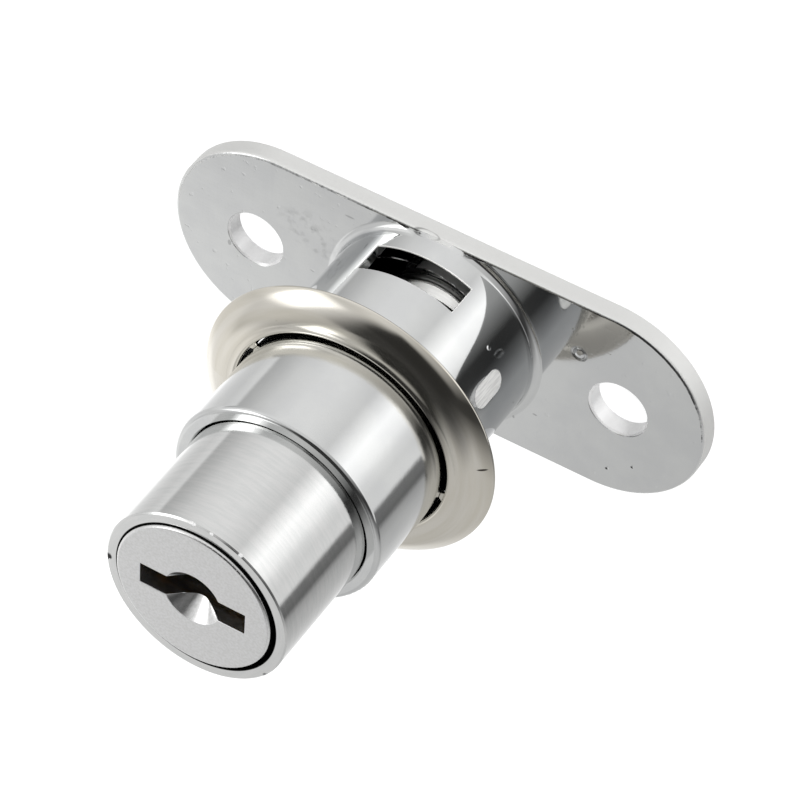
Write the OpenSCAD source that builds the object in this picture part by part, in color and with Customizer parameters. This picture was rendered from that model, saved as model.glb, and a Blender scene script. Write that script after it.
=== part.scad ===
// Push-in plunger lock for a sliding door or a cabinet, drawn unlocked, with the plunger out.
// Origin: middle of the flange's back face. +Z runs along the lock towards the key,
// +X runs along the flange. All sizes are in millimetres.

/* [Flange] */
// Overall length of the flange
flange_l = 58.3; // [48:0.1:75]
// How much wider the flange is than the barrel, on each side
flange_margin = 0.05; // [0.05:0.05:3]
// Thickness of the flange
flange_t = 2; // [1.8:0.1:3]
// Rounding of the flange's front edge
flange_edge = 0.35; // [0.1:0.05:0.6]
// Distance between the two screw holes
screw_pitch = 40; // [36:0.5:50]
// Diameter of a screw hole
screw_d = 6; // [4:0.1:7]
// Broken edge of a screw hole
screw_edge = 0.2; // [0.1:0.05:0.5]

/* [Barrel] */
// Height of the barrel's front above the back of the flange
barrel_h = 30; // [24:0.5:45]
// Wall of the barrel
barrel_wall = 1.4; // [1.2:0.1:3]
// Rounding of the barrel's outer front edge
barrel_edge = 0.5; // [0.2:0.05:0.8]
// Broken inner edge of the barrel's front
barrel_lip = 0.15; // [0.05:0.05:0.3]
// Radius of the fillet between barrel and flange
barrel_fillet = 0.9; // [0.4:0.1:1.5]
// Thickness of the floor behind the bore
floor_t = 1.5; // [1.2:0.1:1.8]

/* [Latch window] */
// Lower edge of the window above the back of the flange
window_z = 4.8; // [4:0.1:7]
// Width of the latch's nose
latch_w = 9.9; // [7:0.1:10.5]
// Thickness of the latch
latch_t = 3.3; // [2.5:0.1:4]

/* [Plunger] */
// Travel of the plunger
stroke = 10; // [8:0.5:14]
// How far the plunger stands out of the barrel when it is pushed in
button_h = 3.15; // [2:0.05:6]
// Wall of the plunger round its front rim
rim_wall = 1.1; // [0.9:0.1:2]
// Depth of the rim's recess round the key plug
rim_depth = 1.6; // [1:0.1:3]
// Broken outer edge of the plunger's front
rim_edge = 0.15; // [0.05:0.05:0.4]
// Thickness of the web that the bolt hangs in
web_t = 1.8; // [1.4:0.1:3]

/* [Bolt and return spring] */
// Diameter of the bolt
bolt_d = 9.5; // [8:0.1:12]
// Thickness of the bolt's head
bolt_head_t = 1.2; // [0.8:0.1:2]
// Wire of the return spring
spring_wire = 0.8; // [0.6:0.05:1]
// Turns of the return spring
spring_turns = 5.8; // [5:0.2:7]

/* [Key plug] */
// How far the plug's face stands proud of the plunger's rim
plug_proud = 0.4; // [0.1:0.05:1]
// Rounding of the edge of the plug's face
plug_edge = 0.25; // [0.1:0.05:0.5]
// Sideways place of the plug's axis
plug_x = -0.12; // [-0.16:0.02:0.16]
// Upward place of the plug's axis
plug_y = 0.16; // [-0.16:0.02:0.16]
// Turn of the key from locked to open, in degrees
key_turn = 45; // [30:1:50]
// Length of the keyway across the face
key_l = 11.05; // [8:0.05:12]
// Width of the keyway
key_w = 2.45; // [2:0.05:3]
// Diameter of the cone in the middle of the keyway
cone_d = 6; // [4:0.1:8]
// Diameter of the drive pin
drive_pin_d = 1.6; // [1.2:0.1:2]
// Thickness of a wafer
wafer_t = 1.1; // [0.8:0.05:1.2]
// How far a wafer stands out of the plug with no key in it
wafer_throw = 0.6; // [0.4:0.05:0.6]

/* [Trim ring] */
// Radial gap between the trim ring and the barrel
ring_gap = 0.36; // [0.25:0.01:0.6]
// Radial width of the trim ring
ring_w = 4.1; // [3:0.1:7]
// Rise of the trim ring's dome
ring_rise = 1.7; // [1.2:0.1:2.5]
// Thickness of the trim ring's sheet
ring_t = 0.45; // [0.3:0.05:0.7]
// How deep the trim ring's inner collar goes below its front
ring_collar = 1.75; // [1.2:0.05:1.8]
// Height of the trim ring's front above the back of the flange
ring_z = 19; // [14:0.5:27]

/* [Guide key and stop pin] */
// Length of the guide key along the barrel
guide_key_l = 4.5; // [4:0.1:6]
// Width of the guide key, and diameter of the stop pin
guide_w = 2.4; // [1.8:0.1:3]
// Angle of the guide key round the barrel, from +X, in degrees
guide_key_at = 20.4; // [15:0.1:22]
// How far behind the plunger's rear the guide key's middle is, with the plunger out
guide_key_behind = 1.9; // [1.2:0.1:2.1]
// How far the guide key and the stop pin stand into the bore
guide_in = 0.7; // [0.5:0.05:0.8]

/* [Fits] */
// Radial clearance of the plunger in the barrel, and of the bolt in the floor
slide_gap = 0.1; // [0.05:0.01:0.1]
// Radial clearance of the plug, the bolt's head and the trim ring's nibs
turn_gap = 0.05; // [0.02:0.01:0.1]
// Clearance on each side of the latch, the guide key and the stop pin
side_gap = 0.1; // [0.05:0.01:0.15]
// Radial gap between the plug's face and the plunger's rim
plug_gap = 0.3; // [0.3:0.05:0.5]

/* [Hidden] */
$fn = 96;
small_fn = 48;
tiny_fn = 32;
cut = 1;               // how far a cutting solid runs past what it cuts
touch = 0.02;          // the least gap between pieces that nearly meet

// Inside out: bolt, spring, pocket, drive pin, plug, plunger, barrel, flange
bolt_r = bolt_d / 2;
spring_room = 0.15;    // between the bolt and the return spring
spring_in = bolt_r + spring_room;
spring_out = spring_in + spring_wire;
pocket_room = 0.3;     // between the return spring and its pocket
pocket_r = spring_out + pocket_room;
head_step = 0.85;      // how far the bolt's head stands out
head_r = bolt_r + head_step;
drive_r = drive_pin_d / 2;
drive_wall = 0.4;      // between the pocket and the drive pin
drive_at = pocket_r + drive_wall + drive_r;
drive_skin = 0.1;      // of the plug, outside the drive pin
plug_r = drive_at + drive_r + drive_skin;
plug_bore_r = plug_r + turn_gap;
rim_r = plug_r + plug_gap;
plunger_r = rim_r + rim_wall;
bore_r = plunger_r + slide_gap;
barrel_r = bore_r + barrel_wall;
flange_r = barrel_r + flange_margin;
end_x = flange_l / 2 - flange_r;

// Heights along the lock, with the plunger out
rear_room = 0.2;       // behind the plunger, when it is pushed in
rear_z = floor_t + rear_room + stroke;
latch_z = window_z + side_gap + stroke;
slot_z = latch_z - side_gap;
slot_h = latch_t + 2 * side_gap;
slot_wall = 0.7;       // between the latch's slot and the web
web_z = slot_z + slot_h + slot_wall;
head_z = web_z + web_t;
seat_z = head_z + bolt_head_t;
tail_z = seat_z + side_gap;
front_z = barrel_h + button_h + stroke;
face_z = front_z + plug_proud;
pin_wall = 2.6;        // of the plunger, behind its groove for the stop pin
stop_z = rear_z + pin_wall + guide_w / 2;
guide_key_z = rear_z - guide_key_behind;
guide_tip_r = bore_r - guide_in;
groove_r = guide_tip_r - side_gap;

// Drive pin, snap ring, keyway and wafers in the plug
drive_hold = 2.9;
drive_top = tail_z + drive_hold;
drive_low = latch_z + latch_t / 2 + side_gap;
clip_t = 0.8;
clip_w = 1;
clip_wall = 0.2;
clip_z = drive_top + clip_wall;
clip_out = plug_bore_r + clip_w / 2;
clip_in = clip_out - clip_w;
clip_room = 0.6;
keyway_wall = 0.7;
keyway_z = clip_z + clip_t + keyway_wall;
wafers = 5;
first_wafer_z = keyway_z + wafer_t;
face_wall = 3.6;       // from the last wafer to the plug's face
last_wafer_z = face_z - face_wall;
wafer_pitch = (last_wafer_z - first_wafer_z) / (wafers - 1);
wafer_hw = 2.2;
wafer_gap = 0.05;
wafer_key_room = [0.45, 0.1];
lug_hw = 0.5;
lug_rise = 1.1;
lug_y = wafer_hw + lug_rise;
wafer_spring_l = 2.4;
wafer_spring_r = 0.5;
wafer_spring_wire = 0.18;
wafer_spring_turns = 6;
wafer_spring_y = 0.6;  // above the wafer's plate

// Latch: it sits pressed in by the bore, and snaps out by the wall's thickness in the window
latch_out = barrel_wall;
latch_draw = 0.6;
latch_room = 0.15;
latch_nose_r = bore_r - latch_room;
latch_shoulder_r = bore_r - 2 * side_gap;
arm_in = pocket_r + latch_room;
arm_w = 1.45;
arm_out = arm_in + arm_w;
arm_end_y = 1.6;
slot_y = arm_end_y - latch_draw - 2 * side_gap;
latch_ledge_y = plug_y + drive_at * cos(key_turn) - drive_r + latch_draw - touch;
latch_spring_at = pocket_r + 1;
latch_spring_r = 0.65;
latch_spring_wire = 0.2;
latch_spring_y = -2.4;
latch_spring_turns = 7;

// Trim ring: a circular arc that is level at its inner edge, with a collar turned down inside it
ring_in = barrel_r + ring_gap;
ring_out = ring_in + ring_w;
dome_in = 0.54;        // from the ring's inner edge to the top of its dome
dome_at = ring_in + dome_in;
dome_run = ring_out - dome_at;
dome_r = (dome_run * dome_run + ring_rise * ring_rise) / (2 * ring_rise);
dome_z = ring_z - dome_r;
dome_mid = dome_r - ring_t / 2;
dome_start = 4;        // degrees past the top, so that the arc overlaps the bead
dome_end = asin((dome_run - ring_t / 2) / dome_mid);
bead_r = ring_t * 0.7;
collar_tip_r = barrel_r + 2 * touch;
nib_angles = [-12, 148, 248];
nib_w = 1;
nib_t = 0.36;

function wafer_height(i) = first_wafer_z + i * wafer_pitch;
function wafer_side(i) = (i % 2 == 0) ? 1 : -1;

// Height of a coil's wire after t turns: level for half a turn at each end, rising evenly between
function coil_rise(t, turns) = min(1, max(0, (t - 0.5) / (turns - 1)));
function coil_point(r, length, wire, turns, t, a) = [
    (r + wire / 2 * cos(a)) * cos(360 * t),
    (r + wire / 2 * cos(a)) * sin(360 * t),
    wire / 2 + (length - wire) * coil_rise(t, turns) + wire / 2 * sin(a)
];

// A compression spring along +Z, from z = 0 to its length; r is the radius of the wire's centre
module coil(r, length, wire, turns, steps, sides) {
    rings = ceil(turns * steps);
    points = [
        for (k = [0 : rings], j = [0 : sides - 1])
            coil_point(r, length, wire, turns, turns * k / rings, 360 * j / sides)
    ];
    walls = [
        for (k = [0 : rings - 1], j = [0 : sides - 1])
            let (n = (j + 1) % sides)
            [k * sides + j, k * sides + n, (k + 1) * sides + n, (k + 1) * sides + j]
    ];
    near_end = [[for (j = [0 : sides - 1]) sides - 1 - j]];
    far_end = [[for (j = [0 : sides - 1]) rings * sides + j]];
    polyhedron(points = points, faces = concat(walls, near_end, far_end), convexity = 10);
}

// Outline with half-round ends along X
module stadium(half_l, r) {
    square([2 * half_l, 2 * r], center = true);
    for (side = [-1, 1]) {
        translate([side * half_l, 0]) circle(r);
    }
}

// Half section of the flange's edge: a rectangle with its front corner rounded
module edge_profile(r, h, round_r) {
    square([r - round_r, h]);
    square([r, h - round_r]);
    translate([r - round_r, h - round_r]) circle(round_r, $fn = small_fn);
}

module flange() {
    for (side = [-1, 1]) {
        translate([side * end_x, 0, 0])
            rotate_extrude() edge_profile(flange_r, flange_t, flange_edge);
    }
    rotate([90, 0, 90])
        translate([0, 0, -end_x])
            linear_extrude(2 * end_x) {
                edge_profile(flange_r, flange_t, flange_edge);
                mirror([1, 0]) edge_profile(flange_r, flange_t, flange_edge);
            }
}

// The fillet round the foot of the barrel, no wider than the flange's flat face
module foot_fillet() {
    centre = [barrel_r + barrel_fillet, flange_t + barrel_fillet];
    root = 0.2;
    intersection() {
        rotate_extrude()
            difference() {
                translate([barrel_r - barrel_wall / 2, flange_t - root])
                    square([barrel_fillet + barrel_wall / 2, barrel_fillet + root]);
                translate(centre) circle(barrel_fillet);
            }
        linear_extrude(barrel_h) stadium(end_x, flange_r - flange_edge);
    }
}

// The barrel as a solid rod with a rounded front edge; housing() bores it
module barrel() {
    translate([0, 0, flange_t / 2])
        cylinder(r = barrel_r, h = barrel_h - barrel_edge - flange_t / 2);
    rotate_extrude()
        translate([barrel_r - barrel_edge, barrel_h - barrel_edge])
            circle(barrel_edge, $fn = small_fn);
    translate([0, 0, barrel_h - 2 * barrel_edge])
        cylinder(r = barrel_r - barrel_edge, h = 2 * barrel_edge);
}

// The guide key's outline, as a bar along the radius, from r_in outwards
module guide_bar(r_in, r_out, l, w) {
    straight = l - w;
    rotate([0, 0, guide_key_at])
        translate([r_in, 0, guide_key_z]) {
            for (end = [-1, 1]) {
                translate([0, 0, end * straight / 2])
                    rotate([0, 90, 0]) cylinder(d = w, h = r_out - r_in);
            }
            translate([0, -w / 2, -straight / 2])
                cube([r_out - r_in, w, straight]);
        }
}

// The stop pin's outline, on the side away from the window
module stop_bar(r_in, r_out, w) {
    translate([0, -r_in, stop_z])
        rotate([90, 0, 0]) cylinder(d = w, h = r_out - r_in);
}

// What the ejector, the gate and the tumbling left on the casting
module casting_marks() {
    ejector = [15.4, 4.8];
    ejector_r = 0.8;
    ejector_w = 0.22;
    dents = [[19.7, -8.2, 0.35], [22.25, -6.5, 0.3]];
    depth = 0.08;
    translate([ejector[0], ejector[1], flange_t - depth])
        difference() {
            cylinder(r = ejector_r, h = cut);
            translate([0, 0, -cut]) cylinder(r = ejector_r - ejector_w, h = 3 * cut);
        }
    for (dent = dents) {
        translate([dent[0], dent[1], flange_t + dent[2] - depth]) sphere(dent[2], $fn = tiny_fn);
    }
}

module housing() {
    window_w = latch_w + 2 * side_gap;
    window_h = latch_t + 2.5 * side_gap;
    color("gainsboro")
        difference() {
            union() {
                flange();
                foot_fillet();
                barrel();
            }
            for (side = [-1, 1]) {
                translate([side * screw_pitch / 2, 0, 0]) {
                    translate([0, 0, -cut]) cylinder(d = screw_d, h = flange_t + 2 * cut);
                    translate([0, 0, flange_t - screw_edge])
                        cylinder(d1 = screw_d, d2 = screw_d + 4 * screw_edge, h = 2 * screw_edge);
                }
            }
            translate([0, 0, floor_t]) cylinder(r = bore_r, h = barrel_h);
            translate([0, 0, barrel_h - barrel_lip])
                cylinder(r1 = bore_r, r2 = bore_r + 2 * barrel_lip, h = 2 * barrel_lip);
            translate([0, 0, -cut]) cylinder(r = bolt_r + slide_gap, h = barrel_h);
            translate([-window_w / 2, bore_r / 2, window_z])
                cube([window_w, barrel_r, window_h]);
            guide_bar(bore_r / 2, barrel_r + cut, guide_key_l, guide_w);
            stop_bar(bore_r / 2, barrel_r + cut, guide_w);
            casting_marks();
        }
}

module guide_key() {
    color("whitesmoke")
        intersection() {
            guide_bar(guide_tip_r, barrel_r + cut, guide_key_l, guide_w);
            cylinder(r = barrel_r, h = barrel_h);
        }
}

module stop_pin() {
    color("silver")
        intersection() {
            stop_bar(guide_tip_r, barrel_r + cut, guide_w);
            cylinder(r = barrel_r, h = barrel_h);
        }
}

// Trim ring: dome, rolled outer edge, rolled lip, collar, and nibs that rub on the barrel
module rosette() {
    color("lightgray") {
        rotate_extrude() {
            intersection() {
                translate([dome_at, dome_z])
                    difference() {
                        circle(dome_r);
                        circle(dome_r - ring_t);
                    }
                translate([dome_at, dome_z])
                    polygon([
                        [0, 0],
                        [-2 * dome_r * sin(dome_start), 2 * dome_r * cos(dome_start)],
                        [2 * dome_r * sin(dome_end), 2 * dome_r * cos(dome_end)]
                    ]);
            }
            translate([dome_at + dome_mid * sin(dome_end), dome_z + dome_mid * cos(dome_end)])
                circle(ring_t / 2, $fn = tiny_fn);
            translate([ring_in + bead_r, ring_z - ring_t / 2])
                circle(bead_r, $fn = tiny_fn);
            polygon([
                [ring_in + touch, ring_z - ring_t / 2],
                [collar_tip_r, ring_z - ring_collar],
                [collar_tip_r + ring_t, ring_z - ring_collar],
                [ring_in + ring_t, ring_z - ring_t]
            ]);
        }
        intersection() {
            translate([0, 0, ring_z - ring_t])
                difference() {
                    cylinder(r = ring_in + ring_t, h = nib_t);
                    translate([0, 0, -cut]) cylinder(r = barrel_r + touch, h = 3 * cut);
                }
            for (a = nib_angles) {
                rotate([0, 0, a])
                    translate([barrel_r - cut, -nib_w / 2, 0]) cube([2 * cut, nib_w, 2 * ring_z]);
            }
        }
    }
}

module return_spring() {
    start_at = 20;
    steps = 24;
    sides = 8;
    color("dimgray")
        translate([0, 0, floor_t])
            rotate([0, 0, start_at])
                coil(spring_in + spring_wire / 2, web_z - floor_t, spring_wire, spring_turns, steps, sides);
}

// The arc that the drive pin sweeps, as a slot through the plunger's web
module drive_slot(low, high) {
    spare = 7;
    translate([plug_x, plug_y, low])
        rotate([0, 0, 90 - key_turn - spare])
            rotate_extrude(angle = key_turn + 2 * spare)
                translate([drive_at - drive_r - side_gap, 0])
                    square([drive_pin_d + 2 * side_gap, high - low]);
}

// Slot across the plunger for the latch, with a blind hole behind each arm for its spring
module latch_slot() {
    translate([-arm_out - side_gap, slot_y, slot_z])
        cube([2 * (arm_out + side_gap), plunger_r, slot_h]);
    for (side = [-1, 1]) {
        translate([side * latch_spring_at, latch_spring_y, latch_z + latch_t / 2])
            rotate([-90, 0, 0]) cylinder(r = latch_spring_r + side_gap, h = slot_y - latch_spring_y + cut);
    }
}

// The guide key runs in an open groove, the stop pin in a closed one that limits the travel
module guide_grooves() {
    spare = 0.5;
    groove_w = guide_w + 2 * side_gap;
    key_top = guide_key_z + guide_key_l / 2 + stroke + spare;
    pin_low = stop_z - guide_w / 2 - touch;
    pin_high = stop_z + guide_w / 2 + stroke + spare;
    rotate([0, 0, guide_key_at])
        translate([groove_r, -groove_w / 2, rear_z - cut])
            cube([plunger_r, groove_w, key_top - rear_z + cut]);
    translate([-groove_w / 2, -groove_r - plunger_r, pin_low])
        cube([groove_w, plunger_r, pin_high - pin_low]);
}

// Room beside the plug, left and right, for the wafers to stand out
module wafer_grooves() {
    low = first_wafer_z - wafer_t;
    high = last_wafer_z + wafer_t;
    groove_hw = wafer_hw + side_gap;
    translate([plug_x, plug_y, low])
        intersection() {
            cylinder(r = plug_bore_r + wafer_throw + wafer_gap, h = high - low);
            translate([-plunger_r, -groove_hw, -cut]) cube([2 * plunger_r, 2 * groove_hw, high]);
        }
}

module plunger() {
    color("silver")
        difference() {
            union() {
                translate([0, 0, rear_z]) cylinder(r = plunger_r, h = front_z - rim_edge - rear_z);
                translate([0, 0, front_z - rim_edge])
                    cylinder(r1 = plunger_r, r2 = plunger_r - rim_edge, h = rim_edge);
            }
            translate([0, 0, rear_z - cut]) cylinder(r = pocket_r, h = web_z - rear_z + cut);
            cylinder(r = bolt_r + turn_gap, h = front_z);
            translate([0, 0, head_z]) cylinder(r = head_r + turn_gap, h = front_z);
            translate([plug_x, plug_y, seat_z]) cylinder(r = plug_bore_r, h = front_z);
            translate([plug_x, plug_y, clip_z - side_gap])
                cylinder(r = clip_out + touch, h = clip_t + 2 * side_gap);
            translate([0, 0, front_z - rim_depth]) cylinder(r = rim_r, h = rim_depth + cut);
            wafer_grooves();
            guide_grooves();
            latch_slot();
            drive_slot(slot_z + slot_h / 2, seat_z + cut);
        }
}

// Bolt with a chamfered nose, just clear of the door with the plunger out, and a head in the web
module bolt() {
    nose_z = 0.3;
    nose_edge = 0.6;
    color("darkgray") {
        translate([0, 0, nose_z]) cylinder(r1 = bolt_r - nose_edge, r2 = bolt_r, h = nose_edge);
        translate([0, 0, nose_z + nose_edge]) cylinder(r = bolt_r, h = seat_z - nose_z - nose_edge);
        translate([0, 0, head_z]) cylinder(r = head_r, h = bolt_head_t);
    }
}

// A spring wire ring, open where the drive pin turns, half in the plunger and half in the plug
module plug_clip() {
    opening = 75;
    opening_end = 105;
    color("darkgray")
        translate([plug_x, plug_y, clip_z])
            rotate([0, 0, opening_end])
                rotate_extrude(angle = 360 - opening)
                    translate([clip_in, 0]) square([clip_out - clip_in, clip_t]);
}

// Slot through the plug for a wafer, with room beside its lug for the spring
module wafer_pocket(i) {
    slot_t = wafer_t + 2 * wafer_gap;
    translate([0, 0, wafer_height(i) - slot_t / 2]) {
        translate([-plunger_r, -wafer_hw - wafer_gap, 0])
            cube([2 * plunger_r, 2 * (wafer_hw + wafer_gap), slot_t]);
        mirror([wafer_side(i) > 0 ? 0 : 1, 0, 0])
            translate([-lug_hw - wafer_throw - wafer_gap, 0, 0])
                cube([2 * lug_hw + wafer_throw + wafer_gap + wafer_spring_l, lug_y + wafer_gap, slot_t]);
    }
}

module plug() {
    color("lightgray")
        translate([plug_x, plug_y, 0])
            difference() {
                union() {
                    translate([0, 0, tail_z]) cylinder(r = plug_r, h = face_z - plug_edge - tail_z);
                    translate([0, 0, face_z - 2 * plug_edge])
                        cylinder(r = plug_r - plug_edge, h = 2 * plug_edge);
                    rotate_extrude()
                        translate([plug_r - plug_edge, face_z - plug_edge])
                            circle(plug_edge, $fn = small_fn);
                }
                translate([-key_l / 2, -key_w / 2, keyway_z]) cube([key_l, key_w, face_z]);
                translate([0, 0, face_z - cone_d / 2])
                    cylinder(d1 = 0, d2 = cone_d + 2 * cut, h = cone_d / 2 + cut);
                translate([0, 0, clip_z - side_gap])
                    difference() {
                        cylinder(r = plug_r + cut, h = clip_t + 2 * side_gap);
                        translate([0, 0, -cut]) cylinder(r = clip_in - clip_room, h = clip_t + 3 * cut);
                    }
                translate([0, drive_at, tail_z - cut]) cylinder(r = drive_r, h = drive_top - tail_z + cut);
                for (i = [0 : wafers - 1]) {
                    wafer_pocket(i);
                }
            }
}

module drive_pin() {
    color("darkgray")
        translate([plug_x, plug_y + drive_at, drive_low]) cylinder(r = drive_r, h = drive_top - drive_low);
}

// A flat fork: its nose fills the window, its arms pass either side of the return spring
module latch() {
    pin_room = drive_r + latch_room;
    color("silver")
        translate([0, 0, latch_z])
            difference() {
                linear_extrude(latch_t)
                    difference() {
                        union() {
                            intersection() {
                                translate([0, -latch_out]) circle(latch_shoulder_r);
                                translate([-arm_out, arm_end_y]) square([2 * arm_out, 2 * plunger_r]);
                            }
                            intersection() {
                                circle(latch_nose_r);
                                translate([-latch_w / 2, plunger_r / 2]) square([latch_w, plunger_r]);
                            }
                        }
                        translate([0, latch_draw]) circle(arm_in);
                        translate([-arm_in, -plunger_r]) square([2 * arm_in, plunger_r + latch_draw]);
                    }
                translate([0, 0, latch_t / 2])
                    linear_extrude(latch_t)
                        intersection() {
                            translate([plug_x, plug_y]) circle(drive_at + pin_room + latch_draw / 2);
                            translate([plug_x - pin_room, latch_ledge_y])
                                square([plunger_r, plug_y + drive_at + pin_room - latch_ledge_y]);
                        }
            }
}

module latch_spring(side) {
    steps = 12;
    sides = 6;
    color("dimgray")
        translate([side * latch_spring_at, latch_spring_y, latch_z + latch_t / 2])
            rotate([-90, 0, 0])
                coil(latch_spring_r - latch_spring_wire / 2, arm_end_y - latch_spring_y,
                     latch_spring_wire, latch_spring_turns, steps, sides);
}

// A plate with a window for the key and a lug at its side for the spring
module wafer(i) {
    color("goldenrod")
        translate([plug_x, plug_y, wafer_height(i) - wafer_t / 2])
            linear_extrude(wafer_t)
                difference() {
                    union() {
                        intersection() {
                            circle(plug_r - turn_gap);
                            square([2 * plunger_r, 2 * wafer_hw], center = true);
                        }
                        translate([-lug_hw, 0]) square([2 * lug_hw, lug_y]);
                    }
                    square([key_l, key_w] + wafer_key_room, center = true);
                }
}

module wafer_spring(i) {
    steps = 10;
    sides = 6;
    color("dimgray")
        translate([plug_x + wafer_side(i) * lug_hw, plug_y + wafer_hw + wafer_spring_y, wafer_height(i)])
            rotate([0, 90 * wafer_side(i), 0])
                coil(wafer_spring_r - wafer_spring_wire / 2, wafer_spring_l,
                     wafer_spring_wire, wafer_spring_turns, steps, sides);
}

housing();
guide_key();
stop_pin();
rosette();
return_spring();
plunger();
bolt();
plug_clip();
plug();
drive_pin();
latch();
latch_spring(-1);  // latch_spring_left
latch_spring(1);  // latch_spring_right
wafer(0);  // wafer_1
wafer(1);  // wafer_2
wafer(2);  // wafer_3
wafer(3);  // wafer_4
wafer(4);  // wafer_5
wafer_spring(0);  // wafer_spring_1
wafer_spring(1);  // wafer_spring_2
wafer_spring(2);  // wafer_spring_3
wafer_spring(3);  // wafer_spring_4
wafer_spring(4);  // wafer_spring_5
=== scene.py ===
import math

import bmesh
import bpy
import numpy as np
from mathutils import Matrix, Vector


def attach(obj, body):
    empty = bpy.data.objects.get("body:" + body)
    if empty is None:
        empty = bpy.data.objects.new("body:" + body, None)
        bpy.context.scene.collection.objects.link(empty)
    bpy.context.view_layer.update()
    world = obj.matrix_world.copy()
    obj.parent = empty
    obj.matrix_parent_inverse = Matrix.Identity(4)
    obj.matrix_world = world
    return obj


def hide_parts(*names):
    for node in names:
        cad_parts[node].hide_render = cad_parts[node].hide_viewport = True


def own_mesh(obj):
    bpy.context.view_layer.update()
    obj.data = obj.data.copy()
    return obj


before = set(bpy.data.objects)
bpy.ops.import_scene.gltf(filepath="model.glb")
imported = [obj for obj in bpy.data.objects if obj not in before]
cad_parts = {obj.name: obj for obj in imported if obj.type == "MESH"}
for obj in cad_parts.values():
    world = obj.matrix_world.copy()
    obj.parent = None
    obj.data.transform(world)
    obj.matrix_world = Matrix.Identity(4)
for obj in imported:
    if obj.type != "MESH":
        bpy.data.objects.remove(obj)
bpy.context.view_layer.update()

# Plunger lock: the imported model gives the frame, in metres. Sizes below are in millimetres,
# with +Z along the lock towards the key face and +X along the flange.
mm = 0.001
turn = 2 * math.pi


def linear(code):
    # sRGB hex to linear: below 0.04045 a straight line, above it a power of 2.4
    rgb = np.array([int(code[i:i + 2], 16) for i in (1, 3, 5)]) / 255
    return (*np.where(rgb <= 0.04045, rgb / 12.92, ((rgb + 0.055) / 1.055) ** 2.4), 1.0)


def addNode(tree, kind, settings=None, inputs=None):
    # one shader node, with its settings, its links and its plain values
    made = tree.nodes.new("ShaderNode" + kind)
    for key, value in (settings or {}).items():
        setattr(made, key, value)
    for key, value in (inputs or {}).items():
        if isinstance(value, bpy.types.NodeSocket):
            tree.links.new(value, made.inputs[key])
        else:
            made.inputs[key].default_value = value
    return made


def newPiece(name, mesh, body, replaced=()):
    made = bpy.data.objects.new(name, mesh)
    bpy.context.scene.collection.objects.link(made)
    mesh.polygons.foreach_set("use_smooth", np.ones(len(mesh.polygons), bool))
    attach(made, body)
    if replaced:
        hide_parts(*replaced)
    return made


def gridMesh(name, points, closedU=False, closedV=False, capped=False):
    # A grid of points (u, v, xyz) in millimetres becomes quads between neighbours, u by v.
    # closedU and closedV join the last row to the first; capped closes both ends of v with a fan.
    nu, nv = points.shape[:2]
    u = np.arange(nu if closedU else nu - 1)[:, None]
    v = np.arange(nv if closedV else nv - 1)[None, :]
    un, vn = (u + 1) % nu, (v + 1) % nv
    quads = np.stack([u * nv + v, un * nv + v, un * nv + vn, u * nv + vn], axis=-1).reshape(-1, 4)
    verts = points.reshape(-1, 3)
    faces = quads.tolist()
    if capped:
        verts = np.concatenate([verts, points[:, 0].mean(0)[None], points[:, -1].mean(0)[None]])
        ring = np.arange(nu)
        first, last = len(verts) - 2, len(verts) - 1
        after = (ring + 1) % nu
        faces += np.stack([after * nv, ring * nv, np.full(nu, first)], 1).tolist()
        faces += np.stack([ring * nv + nv - 1, after * nv + nv - 1, np.full(nu, last)], 1).tolist()
    mesh = bpy.data.meshes.new(name)
    mesh.from_pydata(verts * mm, [], faces)
    mesh.validate()
    bm = bmesh.new()
    bm.from_mesh(mesh)
    bmesh.ops.recalc_face_normals(bm, faces=bm.faces)
    bm.to_mesh(mesh)
    bm.free()
    return mesh


def smoothStep(x):
    x = np.clip(x, 0, 1)
    return x * x * (3 - 2 * x)


# how near a corner has to be to a round surface, in millimetres and degrees, which upright part of a
# direction counts as level, and the least length that is divided by
fit = {"reach": 0.02, "angle": 30, "level": 0.9998, "least": 1e-9}


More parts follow.
